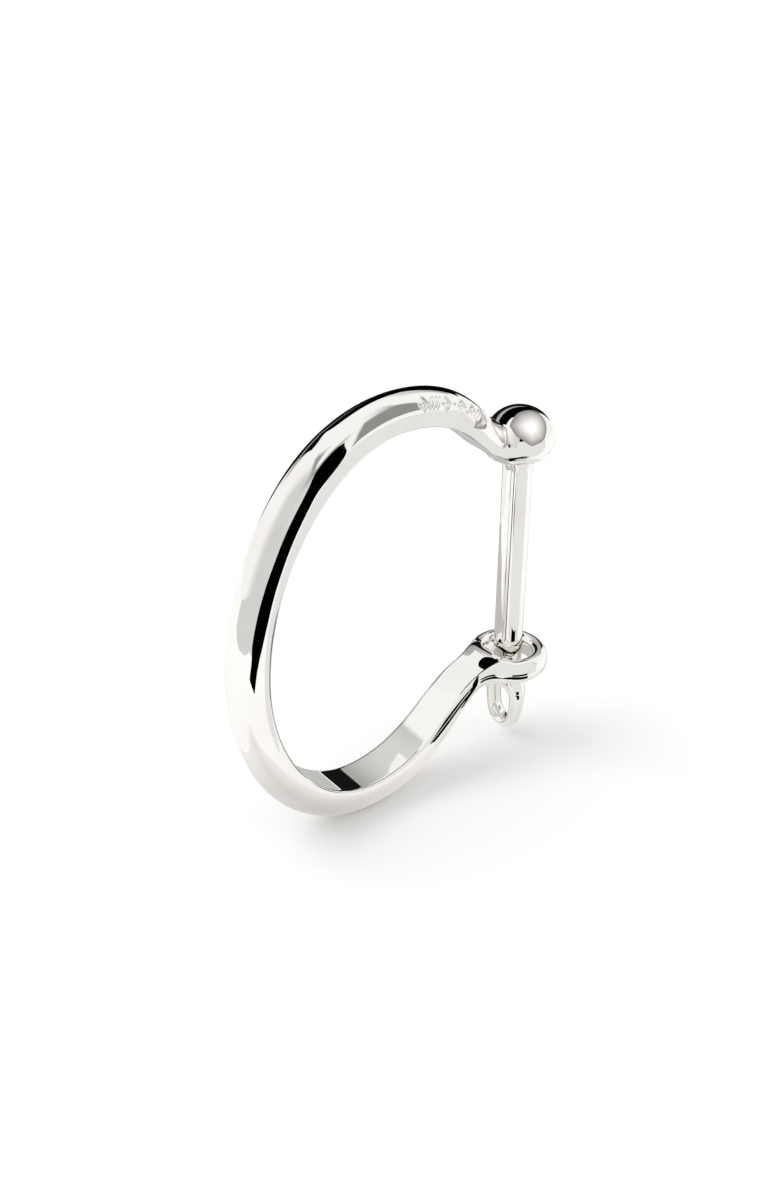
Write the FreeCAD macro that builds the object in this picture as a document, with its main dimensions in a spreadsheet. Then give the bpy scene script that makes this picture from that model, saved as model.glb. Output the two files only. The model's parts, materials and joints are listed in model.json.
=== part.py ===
import FreeCAD, Part

import math
import os

import Sketcher

# A cast silver shackle ring: an open, hand-shaped bow and the screw pin that closes it.
# Frame: +Z up, the bow lies in the XZ plane, the pin stands on the +X side.
# Origin: bottom centre of the whole part. Millimetres.

DRIVING = {
    # the bow's centreline
    "bow_height": 69.0,        # floor to the crest, outside
    "bow_reach": 54.5,         # outer left of the band to the pin's axis
    "crest_setback": 24.5,     # pin axis back to the crest of the centreline
    "foot_setback": 31.5,      # pin axis back to the lowest point of the centreline
    "side_height": 29.7,       # height at which the band stands upright, far left
    "crest_run": 15.2,         # how far the top stays level before it dips to the knob
    "knob_run": 7.0,           # how far the dip levels out before the knob
    "foot_run": 16.0,          # how far the bottom stays level before it climbs to the eye
    "eye_run": 9.0,            # how far the climb levels out before the eye
    # the band's section, thickness in the bow's plane by width across it
    "foot_thick": 5.8, "foot_width": 7.6,
    "side_thick": 5.4, "side_width": 6.1,
    "shoulder_thick": 5.7, "shoulder_width": 6.7,
    "crest_thick": 5.4, "crest_width": 6.1,
    "knob_neck_thick": 4.6, "knob_neck_width": 5.0,
    "eye_neck_thick": 3.9, "eye_neck_width": 6.6,
    # flat worn on the underside, which the ring stands on
    "foot_flat_depth": 0.25,
    # the knob at the end of the upper arm
    "knob_radius": 5.65,
    "knob_underside": 53.3,    # height of its flat underside
    "knob_waist": 2.7,         # underside up to the widest line
    "knob_dome": 5.2,          # widest line up to the top
    "knob_lip_radius": 4.4,    # radius of the flat underside
    # the eye at the end of the lower arm
    "eye_hole_radius": 3.9,
    "eye_limb_width": 2.9,
    "eye_limb_height": 4.2,
    "eye_height": 16.2,        # mid height of the eye
    # the screw pin
    "shank_radius": 2.4,
    "shoulder_radius": 2.8,    # flare that seats under the knob
    "shoulder_height": 1.9,
    "thread_radius": 2.0,      # M4 over the crests
    "thread_length": 5.2,
    "thread_clearance": 0.05,  # radial
    "bore_spare": 0.4,         # room past the pin's tip
    "seat_gap": 0.1,           # shoulder to the knob's underside
    "tip_chamfer": 0.4,
    # the eyelet head that turns the pin
    "eyelet_rise": 1.7,        # floor to the eyelet's lower end
    "eyelet_width": 8.2,
    "eyelet_thick": 3.2,
    "eyelet_gap": 0.3,         # top of the eyelet to the underside of the eye
    "eyelet_rounding": 1.1,
    "neck_length": 3.0,        # taper from the shank into the eyelet
    "slot_width": 3.6,
    "slot_length": 5.8,
    "slot_rise": 4.1,          # floor to the bottom of the slot
}

doc = FreeCAD.newDocument("shackle_ring")
sheet = doc.addObject("Spreadsheet::Sheet", "Dims")
for row, (alias, value) in enumerate(DRIVING.items(), start=1):
    sheet.set(f"A{row}", alias)
    sheet.set(f"B{row}", f"{value:g}")
    sheet.setAlias(f"B{row}", alias)
doc.recompute()


def dim(alias):
    return float(getattr(sheet, alias))


# Places worked out from the driving dimensions.

eye_outer_radius = dim("eye_hole_radius") + dim("eye_limb_width")
widest_at_pin = max(eye_outer_radius, dim("knob_radius"))
overall_width = dim("bow_reach") + widest_at_pin
pin_x = overall_width / 2 - widest_at_pin
side_x = -overall_width / 2 + dim("side_thick") / 2
crest_x = pin_x - dim("crest_setback")
foot_x = pin_x - dim("foot_setback")
crest_z = dim("bow_height") - dim("crest_thick") / 2
foot_z = dim("foot_thick") / 2 - dim("foot_flat_depth")
side_z = dim("side_height")
knob_z = dim("knob_underside") + dim("knob_waist")
eye_z = dim("eye_height")
eye_start_x = pin_x - eye_outer_radius + dim("eye_limb_width") / 2
knob_end_x = pin_x - dim("thread_radius") - dim("thread_clearance")


def bezier(poles, t):
    """Point and direction on a cubic with these four poles."""
    curve = Part.BezierCurve()
    curve.setPoles([FreeCAD.Vector(x, 0, z) for x, z in poles])
    return curve.value(t), curve.tangent(t)[0]


def quarter(centre, half_x, half_z, angle):
    """Point and direction on an ellipse, the angle measured from the bottom, clockwise."""
    a = math.radians(angle)
    point = FreeCAD.Vector(centre[0] - half_x * math.sin(a), 0, centre[1] - half_z * math.cos(a))
    heading = FreeCAD.Vector(-half_x * math.cos(a), 0, half_z * math.sin(a))
    return point, heading.normalize()


# The centreline runs from the eye, down to the foot, round the left and over the crest to the knob.
lower_arm = [(eye_start_x, eye_z), (eye_start_x - dim("eye_run"), eye_z + 0.3),
             (foot_x + dim("foot_run"), foot_z), (foot_x, foot_z)]
upper_arm = [(crest_x, crest_z), (crest_x + dim("crest_run"), crest_z),
             (knob_end_x - dim("knob_run"), knob_z), (knob_end_x, knob_z)]


def station(s):
    """Point and direction of the centreline: s is 0 at the eye, 1 at the foot, 2 at the far
    left, 3 at the crest and 4 at the knob."""
    if s <= 1:
        return bezier(lower_arm, s)
    if s <= 2:
        return quarter((foot_x, side_z), foot_x - side_x, side_z - foot_z, 90 * (s - 1))
    if s <= 3:
        return quarter((crest_x, side_z), crest_x - side_x, crest_z - side_z, 90 * (s - 1))
    return bezier(upper_arm, s - 3)


# Each stretch of the band blends between two named sections.
SECTIONS = [(0.0, "eye_neck"), (0.8, "foot"), (1.2, "foot"), (2.0, "side"),
            (2.6, "shoulder"), (3.0, "crest"), (4.0, "knob_neck")]


def section_expression(s, size):
    """Half of a section size at s, as a formula on the sheet's cells."""
    for (low, first), (high, second) in zip(SECTIONS, SECTIONS[1:]):
        if s <= high:
            share = (s - low) / (high - low)
            share = share * share * (3 - 2 * share)
            return f"(Dims.{first}_{size} * {1 - share:.4f} + Dims.{second}_{size} * {share:.4f}) / 2"
    raise ValueError("no section at this station")


STATIONS = [0.0, 0.2, 0.4, 0.6, 0.8, 1.0, 1.25, 1.5, 1.75, 2.0, 2.25, 2.5, 2.75, 3.0, 3.2, 3.4, 3.6, 3.8, 4.0]

rings = []
for index, s in enumerate(STATIONS):
    point, heading = station(s)
    ring = doc.addObject("Part::Ellipse", f"band_section_{index:02d}")
    ring.setExpression("MajorRadius", section_expression(s, "width"))
    ring.setExpression("MinorRadius", section_expression(s, "thick"))
    # the ellipse's long axis lies across the bow, along Y, and its normal along the centreline
    across = FreeCAD.Vector(0, 1, 0)
    turn = FreeCAD.Rotation(across, heading.cross(across), heading, "ZXY")
    ring.Placement = FreeCAD.Placement(point, turn)
    rings.append(ring)

band = doc.addObject("Part::Loft", "band")
band.Sections = rings
band.Solid = True
band.Ruled = False


def body_plane(body, role):
    return next(f for f in body.Origin.OriginFeatures if f.Role == role)


def upright_sketch(body, name):
    """A sketch in the XZ plane, so its x and y are the part's X and Z."""
    sketch = body.newObject("Sketcher::SketchObject", name)
    sketch.AttachmentSupport = [(body_plane(body, "XZ_Plane"), "")]
    sketch.MapMode = "FlatFace"
    return sketch


def bind(sketch, kind, args, name, expression, value):
    """Add a named constraint and drive it from the sheet."""
    number = sketch.addConstraint(Sketcher.Constraint(kind, *args, value))
    sketch.renameConstraint(number, name)
    sketch.setExpression(f"Constraints.{name}", expression)


def outline(sketch, corners):
    """A closed outline of straight lines. Each corner is a pair of formulas on the sheet, and
    a corner with "0" for its x lies on the upright axis."""
    points = [(float(sketch.evalExpression(x)), float(sketch.evalExpression(z))) for x, z in corners]
    count = len(points)
    for i, (x, z) in enumerate(points):
        next_x, next_z = points[(i + 1) % count]
        sketch.addGeometry(Part.LineSegment(FreeCAD.Vector(x, z, 0), FreeCAD.Vector(next_x, next_z, 0)))
    for i in range(count):
        sketch.addConstraint(Sketcher.Constraint("Coincident", i, 2, (i + 1) % count, 1))
    for i, ((x_formula, z_formula), (x, z)) in enumerate(zip(corners, points)):
        if x_formula == "0":
            sketch.addConstraint(Sketcher.Constraint("PointOnObject", i, 1, -2))
        else:
            bind(sketch, "DistanceX", (-1, 1, i, 1), f"x{i}", x_formula, x)
        bind(sketch, "DistanceY", (-1, 1, i, 1), f"z{i}", z_formula, z)


def stadium(sketch, half_width, low_end, high_end):
    """An upright outline with two straight sides and round ends, between these formulas."""
    radius, low, high = (float(sketch.evalExpression(f)) for f in (half_width, low_end, high_end))
    up = FreeCAD.Vector(0, 0, 1)
    low_centre = FreeCAD.Vector(0, low + radius, 0)
    high_centre = FreeCAD.Vector(0, high - radius, 0)
    sketch.addGeometry(Part.ArcOfCircle(Part.Circle(low_centre, up, radius), math.pi, 2 * math.pi))
    sketch.addGeometry(Part.ArcOfCircle(Part.Circle(high_centre, up, radius), 0, math.pi))
    for side in (radius, -radius):
        foot = FreeCAD.Vector(side, low_centre.y, 0)
        head = FreeCAD.Vector(side, high_centre.y, 0)
        sketch.addGeometry(Part.LineSegment(foot, head))
    for arc, arc_end, line, line_end in ((0, 2, 2, 1), (1, 1, 2, 2), (0, 1, 3, 1), (1, 2, 3, 2)):
        sketch.addConstraint(Sketcher.Constraint("Tangent", arc, arc_end, line, line_end))
    for arc in (0, 1):
        sketch.addConstraint(Sketcher.Constraint("PointOnObject", arc, 3, -2))
    bind(sketch, "Radius", (0,), "end_radius", half_width, radius)
    bind(sketch, "DistanceY", (-1, 1, 0, 3), "low_centre", f"{low_end} + {half_width}", low_centre.y)
    bind(sketch, "DistanceY", (-1, 1, 1, 3), "high_centre", f"{high_end} - {half_width}", high_centre.y)


# The knob, the eye and the whole bow.

WAIST_Z = "Dims.knob_underside + Dims.knob_waist"
BELLY = "Dims.knob_waist / sqrt(1 - (Dims.knob_lip_radius / Dims.knob_radius)^2)"


def knob_half(name, height, low_angle, high_angle):
    half = doc.addObject("Part::Ellipsoid", name)
    half.Placement.Base.x = pin_x
    half.setExpression("Placement.Base.z", WAIST_Z)
    half.setExpression("Radius1", height)
    half.setExpression("Radius2", "Dims.knob_radius")
    half.setExpression("Radius3", "Dims.knob_radius")
    half.setExpression("Angle1", low_angle)
    half.setExpression("Angle2", high_angle)
    return half


knob_dome = knob_half("knob_dome", "Dims.knob_dome", "0 deg", "90 deg")
knob_belly = knob_half("knob_belly", BELLY, f"-asin(Dims.knob_waist / ({BELLY}))", "0 deg")

limb = doc.addObject("Part::Ellipse", "eye_limb")
limb.setExpression("MajorRadius", "Dims.eye_limb_height / 2")
limb.setExpression("MinorRadius", "Dims.eye_limb_width / 2")
limb_x = pin_x + dim("eye_hole_radius") + dim("eye_limb_width") / 2
along, across = FreeCAD.Vector(0, 0, 1), FreeCAD.Vector(1, 0, 0)
limb.Placement = FreeCAD.Placement(FreeCAD.Vector(limb_x, 0, eye_z),
                                   FreeCAD.Rotation(along, across, along.cross(across), "ZXY"))

eye = doc.addObject("Part::Revolution", "eye")
eye.Source = limb
eye.Axis = FreeCAD.Vector(0, 0, 1)
eye.Base = FreeCAD.Vector(pin_x, 0, 0)
eye.Angle = 360
eye.Solid = True

casting = doc.addObject("Part::MultiFuse", "casting")
casting.Shapes = [band, knob_dome, knob_belly, eye]

eye_hole = doc.addObject("Part::Cylinder", "eye_hole")
eye_hole.setExpression("Radius", "Dims.eye_hole_radius")
eye_hole.setExpression("Height", "Dims.eye_limb_height * 2")
eye_hole.Placement.Base.x = pin_x
eye_hole.setExpression("Placement.Base.z", "Dims.eye_height - Dims.eye_limb_height")

thread_bore = doc.addObject("Part::Cylinder", "thread_bore")
thread_bore.setExpression("Radius", "Dims.thread_radius + Dims.thread_clearance")
thread_bore.setExpression("Height", "Dims.thread_length + Dims.bore_spare - Dims.seat_gap + 1")
thread_bore.Placement.Base.x = pin_x
thread_bore.setExpression("Placement.Base.z", "Dims.knob_underside - 1")

floor_cut = doc.addObject("Part::Box", "floor_cut")
floor_cut.Length = overall_width
floor_cut.setExpression("Width", "Dims.foot_width * 2")
floor_cut.setExpression("Height", "Dims.foot_thick")
floor_cut.Placement.Base = FreeCAD.Vector(-overall_width / 2, -dim("foot_width"), -dim("foot_thick"))

tools = doc.addObject("Part::MultiFuse", "cutting_tools")
tools.Shapes = [eye_hole, thread_bore, floor_cut]

bow = doc.addObject("Part::Cut", "bow_cut")
bow.Base = casting
bow.Tool = tools
bow.Label = "bow"

# The screw pin.

SEAT_Z = "Dims.knob_underside - Dims.seat_gap"
TIP_Z = f"{SEAT_Z} + Dims.thread_length"
EYELET_TOP = "Dims.eye_height - Dims.eye_limb_height / 2 - Dims.eyelet_gap"

pin = doc.addObject("PartDesign::Body", "pin_body")
pin.Label = "pin"
pin.Placement.Base.x = pin_x


def side_sketch(body, name):
    """A sketch in the YZ plane, so its x and y are the part's Y and Z."""
    sketch = body.newObject("Sketcher::SketchObject", name)
    sketch.AttachmentSupport = [(body_plane(body, "YZ_Plane"), "")]
    sketch.MapMode = "FlatFace"
    return sketch


eyelet_outline = side_sketch(pin, "eyelet_outline")
stadium(eyelet_outline, "Dims.eyelet_width / 2", "Dims.eyelet_rise", EYELET_TOP)
eyelet = pin.newObject("PartDesign::Pad", "eyelet")
eyelet.Profile = eyelet_outline
eyelet.setExpression("Length", "Dims.eyelet_thick")
eyelet.Midplane = True

slot_outline = side_sketch(pin, "slot_outline")
stadium(slot_outline, "Dims.slot_width / 2", "Dims.slot_rise", "Dims.slot_rise + Dims.slot_length")
slot = pin.newObject("PartDesign::Pocket", "slot")
slot.Profile = slot_outline
slot.Type = "ThroughAll"
slot.Midplane = True
doc.recompute()

# every edge that lies in one of the eyelet's two flat faces is rounded
half_thick = dim("eyelet_thick") / 2
rims = [f"Edge{number}" for number, edge in enumerate(slot.Shape.Edges, start=1)
        if edge.BoundBox.XLength < 0.001 and abs(abs(edge.CenterOfMass.x) - half_thick) < 0.001]
rounded = pin.newObject("PartDesign::Fillet", "eyelet_rounding")
rounded.Base = (slot, rims)
# the roundings leave a little of each wall flat, however thin it gets
rounded.setExpression("Radius", "min(Dims.eyelet_rounding; (Dims.eyelet_width - Dims.slot_width) * 0.24; "
                      "Dims.eyelet_thick * 0.45)")

shank_profile = upright_sketch(pin, "shank_profile")
outline(shank_profile, [
    ("0", TIP_Z),
    ("Dims.thread_radius - Dims.tip_chamfer", TIP_Z),
    ("Dims.thread_radius", f"{TIP_Z} - Dims.tip_chamfer"),
    ("Dims.thread_radius", SEAT_Z),
    ("Dims.shoulder_radius", SEAT_Z),
    ("Dims.shank_radius", f"{SEAT_Z} - Dims.shoulder_height"),
    ("Dims.shank_radius", EYELET_TOP),
    ("Dims.eyelet_thick / 2", f"{EYELET_TOP} - Dims.neck_length"),
    ("0", f"{EYELET_TOP} - Dims.neck_length"),
])
shank = pin.newObject("PartDesign::Revolution", "shank")
shank.Profile = shank_profile
shank.ReferenceAxis = (shank_profile, ["V_Axis"])
shank.Angle = 360
pin.Tip = shank

doc.recompute()
for obj in doc.Objects:
    if "Invalid" in obj.State or "Error" in obj.State:
        raise RuntimeError(f"{obj.Name} did not build: {obj.State}")

os.makedirs("parts", exist_ok=True)
for piece in (bow, pin):
    shape = piece.Shape
    if shape.isNull() or not shape.isValid():
        raise RuntimeError(f"{piece.Label} has no valid shape")
    box = shape.BoundBox
    print(f"{piece.Label}: {len(shape.Solids)} solid, {shape.Volume:.1f} mm3, "
          f"x {box.XMin:.2f} to {box.XMax:.2f}, y {box.YMin:.2f} to {box.YMax:.2f}, "
          f"z {box.ZMin:.2f} to {box.ZMax:.2f}")
    shape.exportStep(os.path.join("parts", f"{piece.Label}.step"))
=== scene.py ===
import json
import math

import bmesh
import bpy
import numpy as np
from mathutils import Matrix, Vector

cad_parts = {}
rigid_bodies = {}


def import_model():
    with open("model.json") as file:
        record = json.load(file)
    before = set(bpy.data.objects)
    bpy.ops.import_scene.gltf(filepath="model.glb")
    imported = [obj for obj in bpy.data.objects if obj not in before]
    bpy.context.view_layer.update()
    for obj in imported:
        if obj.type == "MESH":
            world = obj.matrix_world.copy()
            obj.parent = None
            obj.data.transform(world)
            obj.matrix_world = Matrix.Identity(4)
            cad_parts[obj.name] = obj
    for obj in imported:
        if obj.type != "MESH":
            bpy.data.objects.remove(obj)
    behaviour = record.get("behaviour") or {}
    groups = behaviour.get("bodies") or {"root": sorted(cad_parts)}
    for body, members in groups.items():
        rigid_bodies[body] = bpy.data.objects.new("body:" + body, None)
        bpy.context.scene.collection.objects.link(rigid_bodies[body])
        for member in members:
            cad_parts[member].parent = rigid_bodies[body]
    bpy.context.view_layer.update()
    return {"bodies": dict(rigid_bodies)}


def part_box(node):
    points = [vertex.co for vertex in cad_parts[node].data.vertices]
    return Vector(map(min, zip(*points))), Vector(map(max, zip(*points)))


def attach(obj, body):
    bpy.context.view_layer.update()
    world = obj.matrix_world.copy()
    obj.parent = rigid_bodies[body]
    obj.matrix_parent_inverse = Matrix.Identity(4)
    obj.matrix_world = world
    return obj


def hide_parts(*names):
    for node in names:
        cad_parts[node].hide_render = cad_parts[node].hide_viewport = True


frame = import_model()
mm = 0.001
farAway = 99.0  # further than any distance or angle met here


def say(text):
    print("ring puzzle:", text, flush=True)


say("frame loaded, %d bodies" % len(frame["bodies"]))


def boxMm(node):
    low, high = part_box(node)
    return np.array(low) / mm, np.array(high) / mm


def smoothStep(x):
    x = np.clip(x, 0.0, 1.0)
    return x * x * (3 - 2 * x)


def keyed(at, keys, values):
    # eased values between keys, level at each key
    keys = np.asarray(keys, float)
    values = np.asarray(values, float)
    step = np.clip(np.searchsorted(keys, at, side="right") - 1, 0, len(keys) - 2)
    span = smoothStep((at - keys[step]) / (keys[step + 1] - keys[step]))
    return values[step] + (values[step + 1] - values[step]) * span


def softMin(a, b, k):
    # rounded union: only changes anything where a and b differ by less than k
    h = np.clip(k - np.abs(a - b), 0.0, None)
    return np.minimum(a, b) - h * h / (4 * k)


def softMax(a, b, k):
    return -softMin(-a, -b, k)


def blurred(values, sigma):
    # Gaussian blur of a run of samples, ends carried on in a straight line
    reach = int(4 * sigma) + 1
    weights = np.exp(-0.5 * (np.arange(-reach, reach + 1) / sigma) ** 2)
    weights /= weights.sum()
    count = np.arange(1, reach + 1)
    before = values[0] - (values[1] - values[0]) * count[::-1]
    after = values[-1] + (values[-1] - values[-2]) * count
    return np.convolve(np.concatenate([before, values, after]), weights, "valid")


pinBox = boxMm("pin")
pinX = (pinBox[0][0] + pinBox[1][0]) / 2

bow = dict(
    # spine: runs of the middle line in the upright plane
    eyeStart=(-5.35, 16.2), eyeHandle=(-14.35, 16.5), footHandle=(8.35, 2.65), foot=(-7.65, 2.65),
    side=(-27.95, 29.7), crest=(-0.65, 66.3), crestHandle=15.2, neckHandle=7.0, knobEnd=(-2.05, 56.0),
    spineSamples=400, spineStep=0.25, spineBlur=8.0, turnBlur=3.0,
    # section sizes at stations along the spine
    stations=(0.0, 0.8, 1.2, 2.0, 2.6, 3.0, 4.0),
    thick=(3.9, 5.8, 5.8, 5.4, 5.7, 5.4, 4.6),
    width=(6.6, 7.6, 7.6, 6.1, 6.7, 6.1, 5.0),
    sizeBlur=8.0, domeDrop=0.22, flatEdge=0.3, floorEdge=0.3, endRounding=1.4,
    # flat flute down the left side: where its two edges lie, in degrees round the section, along the spine
    fluteAt=(73.3, 75.5, 80, 88, 97, 99.5, 102.5, 105.5, 109),
    fluteLeft=(-88, -74, -76, -80, -78, -76, -60, -56, -78),
    fluteRight=(-89, -101, -109, -109, -101, -95, -101, -99, -80),
    fluteBlur=3.0, fluteEdge=0.03, fluteReach=1.2,
    # slanting crease where the band twists over the shoulder, and the dip beyond it
    creaseTop=106.4, creaseSlant=0.09, creaseSlope=0.12, creaseLength=3.4,
    # where the dip fades out on either side, in degrees round the section
    creaseEnd=-62, creaseEase=14, creaseFar=50, creaseFade=40,
    # eye
    eyeHeight=16.2, holeRadius=3.9, limbWidth=2.9, limbHeight=4.2, holeEdge=0.55, neckBlend=3.2,
    # knob
    knobHeight=56.0, knobRadius=5.65, domeHeight=5.2, bellyHeight=2.7, bellyDepth=3.7, bellyEdge=0.4,
    lipRadius=4.95, lipHeight=1.1, lipLift=0.6, lipBlend=0.12,
    notchBlend=0.35, frontBlend=1.8, flowDrop=1.0, flowHeight=3.0,
    boreRadius=2.06, boreTop=58.8, boreEdge=0.25,
    # mesh: the clearances keep the swept band away from the blends
    around=144, ringStep=0.42, markStep=0.09, netStep=0.2, bridge=0.2, eyeClearance=0.3, knobClearance=3.0,
    # space that the nets of the eye and the knob fill: behind, in front, half its depth, lowest, highest
    eyeSpace=(5.0, 1.0, 9.0, 4.0, 21.2), knobSpace=(5.0, 1.0, 7.0, 48.0, 70.0),
)


def spineTable(b):
    # x, z, station of the middle line from the eye round to the knob, evenly spaced
    t = np.linspace(0, 1, b["spineSamples"])[:, None]
    quarter = t * math.pi / 2

    def bezier(p0, p1, p2, p3):
        return (1 - t) ** 3 * p0 + 3 * t * (1 - t) ** 2 * p1 + 3 * t * t * (1 - t) * p2 + t ** 3 * p3

    eyeStart = np.array([pinX + b["eyeStart"][0], b["eyeStart"][1]])
    eyeHandle = np.array([pinX + b["eyeHandle"][0], b["eyeHandle"][1]])
    foot = np.array(b["foot"])
    side = np.array(b["side"])
    crest = np.array(b["crest"])
    knob = np.array([pinX + b["knobEnd"][0], b["knobEnd"][1]])
    runs = [
        bezier(eyeStart, eyeHandle, np.array(b["footHandle"]), foot),
        np.array([foot[0], side[1]])
        + np.hstack([(side[0] - foot[0]) * np.sin(quarter), (foot[1] - side[1]) * np.cos(quarter)]),
        np.array([crest[0], side[1]])
        + np.hstack([(side[0] - crest[0]) * np.cos(quarter), (crest[1] - side[1]) * np.sin(quarter)]),
        bezier(crest, crest + (b["crestHandle"], 0), knob - (b["neckHandle"], 0), knob),
    ]
    points = np.vstack([run[:-1] for run in runs] + [runs[-1][-1:]])
    station = np.append(np.concatenate([i + t[:-1, 0] for i in range(len(runs))]), float(len(runs)))
    length = np.append(0, np.cumsum(np.hypot(*np.diff(points, axis=0).T)))
    even = np.linspace(0, length[-1], int(length[-1] / b["spineStep"]))
    x = blurred(np.interp(even, length, points[:, 0]), b["spineBlur"])
    z = blurred(np.interp(even, length, points[:, 1]), b["spineBlur"])
    u = np.append(0, np.cumsum(np.hypot(np.diff(x), np.diff(z))))
    tx = blurred(np.gradient(x, u), b["turnBlur"])
    tz = blurred(np.gradient(z, u), b["turnBlur"])
    size = np.hypot(tx, tz)
    return dict(u=u, x=x, z=z, tx=tx / size, tz=tz / size, station=np.interp(even, length, station))


spine = spineTable(bow)
for size in ("thick", "width"):
    spine[size] = blurred(keyed(spine["station"], bow["stations"], bow[size]), bow["sizeBlur"])
for side in ("fluteLeft", "fluteRight"):
    spine[side] = blurred(np.interp(spine["u"], bow["fluteAt"], np.radians(bow[side])), bow["fluteBlur"])
say("spine %.1f mm long" % spine["u"][-1])


def onSpine(u, name):
    return np.interp(u, spine["u"], spine[name])


def turnedBack(angle):
    # the same direction, between -pi and pi
    return (angle + math.pi) % (2 * math.pi) - math.pi


def domeRadius(u, angle):
    # the rounded outer side of the section, part of an ellipse set a little inwards
    thick = onSpine(u, "thick")
    c = np.cos(angle)
    s = np.sin(angle)
    middle = -bow["domeDrop"] * thick
    high = thick / 2 - middle
    wide = onSpine(u, "width") / 2
    qa = (c / high) ** 2 + (s / wide) ** 2
    qb = -2 * c * middle / high ** 2
    qc = (middle / high) ** 2 - 1
    return (-qb + np.sqrt(qb * qb - 4 * qa * qc)) / (2 * qa)


def fluteRadius(u, angle, outline):
    # a straight cut across the section between the flute's two edges
    left, right = onSpine(u, "fluteLeft"), onSpine(u, "fluteRight")
    leftRadius, rightRadius = outline(u, left), outline(u, right)
    turned = turnedBack(angle)
    spread = leftRadius * np.sin(left - turned) + rightRadius * np.sin(turned - right)
    cut = leftRadius * rightRadius * np.sin(left - right) / np.maximum(spread, 1e-4)
    within = np.abs(turned - (left + right) / 2) < bow["fluteReach"]
    within = within & (u > bow["fluteAt"][0]) & (u < bow["fluteAt"][-1])
    return np.where(within, cut, farAway)


stamps = dict(
    # small plain lozenges, bars and studs pressed into the arm, placed in millimetres along and across
    start=119.6, end=134.6, turn=-71.0, armRadius=2.7, depth=0.2, edge=0.12,
    # each bar: along, across, half its width, half its height
    bars=((122.0, 0.0, 0.17, 0.85), (122.7, 0.0, 0.17, 0.85), (123.4, 0.0, 0.17, 0.85),
          (131.5, 0.1, 0.16, 0.8), (132.2, 0.1, 0.16, 0.8)),
    slant=0.45,
    # each lozenge: along, across, half its length, half its height
    lozenges=((120.7, 0.0, 0.75, 0.95), (124.9, 0.0, 0.75, 0.95), (128.0, 0.1, 0.8, 0.9),
              (130.3, 0.2, 0.6, 0.8), (133.4, 0.1, 0.45, 0.6)),
    lozengeLine=0.13,
    studs=((120.7, 0.0), (124.9, 0.0), (128.0, 0.1), (126.4, 0.0), (129.2, -0.5)), studSize=0.22,
)


def marks(u, angle):
    # how far the marks are pressed in at this place
    m = stamps
    across = (turnedBack(angle) - math.radians(m["turn"])) * m["armRadius"] + 0 * u
    if np.max(u) < m["start"] or np.min(u) > m["end"]:
        return 0 * across
    gap = np.full(np.shape(across), farAway)
    for at, rise, halfLong, halfHigh in m["bars"]:
        offLine = np.abs(u - at - m["slant"] * (across - rise)) - halfLong
        gap = np.minimum(gap, np.maximum(offLine, np.abs(across - rise) - halfHigh))
    for at, rise, halfLong, halfHigh in m["lozenges"]:
        lozenge = (np.abs(u - at) / halfLong + np.abs(across - rise) / halfHigh - 1) * halfLong
        gap = np.minimum(gap, np.abs(lozenge) - m["lozengeLine"])
    for at, rise in m["studs"]:
        gap = np.minimum(gap, np.hypot(u - at, across - rise) - m["studSize"])
    return m["depth"] * (1 - smoothStep(gap / m["edge"] + 0.5))


def creaseDip(u, angle):
    # the surface breaks along the crease and eases back further on
    b = bow
    degrees = np.degrees(turnedBack(angle))
    past = np.maximum(u - b["creaseTop"] - b["creaseSlant"] * np.minimum(degrees, 0), 0)
    reach = smoothStep((degrees - b["creaseEnd"]) / b["creaseEase"])
    reach = reach * smoothStep((b["creaseFar"] - degrees) / b["creaseFade"])
    return b["creaseSlope"] * past * np.exp(-past / b["creaseLength"]) * reach


def sectionRadius(u, angle):
    # polar radius of the D-shaped section; angle 0 points out of the ring, pi is the flat inner face
    b = bow
    c = np.cos(angle)
    half = onSpine(u, "thick") / 2
    dome = domeRadius(u, angle)
    flat = half / np.maximum(-c, 0.05)
    radius = softMin(dome, flat, b["flatEdge"])
    radius = softMin(radius, fluteRadius(u, angle, domeRadius), b["fluteEdge"])
    radius = radius - creaseDip(u, angle) - marks(u, angle)
    down = np.maximum(-onSpine(u, "tx") * c, 0.02)
    return softMin(radius, onSpine(u, "z") / down, b["floorEdge"])


def bandField(p):
    # signed field of the swept band, about a distance near its surface
    x, y, z = p.T
    near = np.empty(len(p), int)
    batch = 20000  # points looked at together
    for start in range(0, len(p), batch):
        part = slice(start, start + batch)
        gap = (x[part, None] - spine["x"]) ** 2 + (z[part, None] - spine["z"]) ** 2
        near[part] = gap.argmin(axis=1)
    u = spine["u"][near]
    past = np.zeros(len(p))
    for turn in range(3):
        cx, cz = onSpine(u, "x"), onSpine(u, "z")
        tx, tz = onSpine(u, "tx"), onSpine(u, "tz")
        along = (x - cx) * tx + (z - cz) * tz
        u = u + along
        past = np.where(u < 0, -u, np.where(u > spine["u"][-1], u - spine["u"][-1], 0))
        u = np.clip(u, 0, spine["u"][-1])
    cx, cz = onSpine(u, "x"), onSpine(u, "z")
    tx, tz = onSpine(u, "tx"), onSpine(u, "tz")
    out = (x - cx) * -tz + (z - cz) * tx
    inner = bow["endRounding"]
    edge = np.hypot(out, y) - sectionRadius(u, np.arctan2(y, out))
    return np.where(past > 0, np.hypot(np.maximum(edge + inner, 0), past) - inner, edge)


def ellipsoidField(p, middle, half):
    q = (p - middle) / half
    size = np.linalg.norm(q, axis=1)
    slope = np.linalg.norm(q / half, axis=1)
    return size * (size - 1) / np.maximum(slope, 1e-6)


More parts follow.
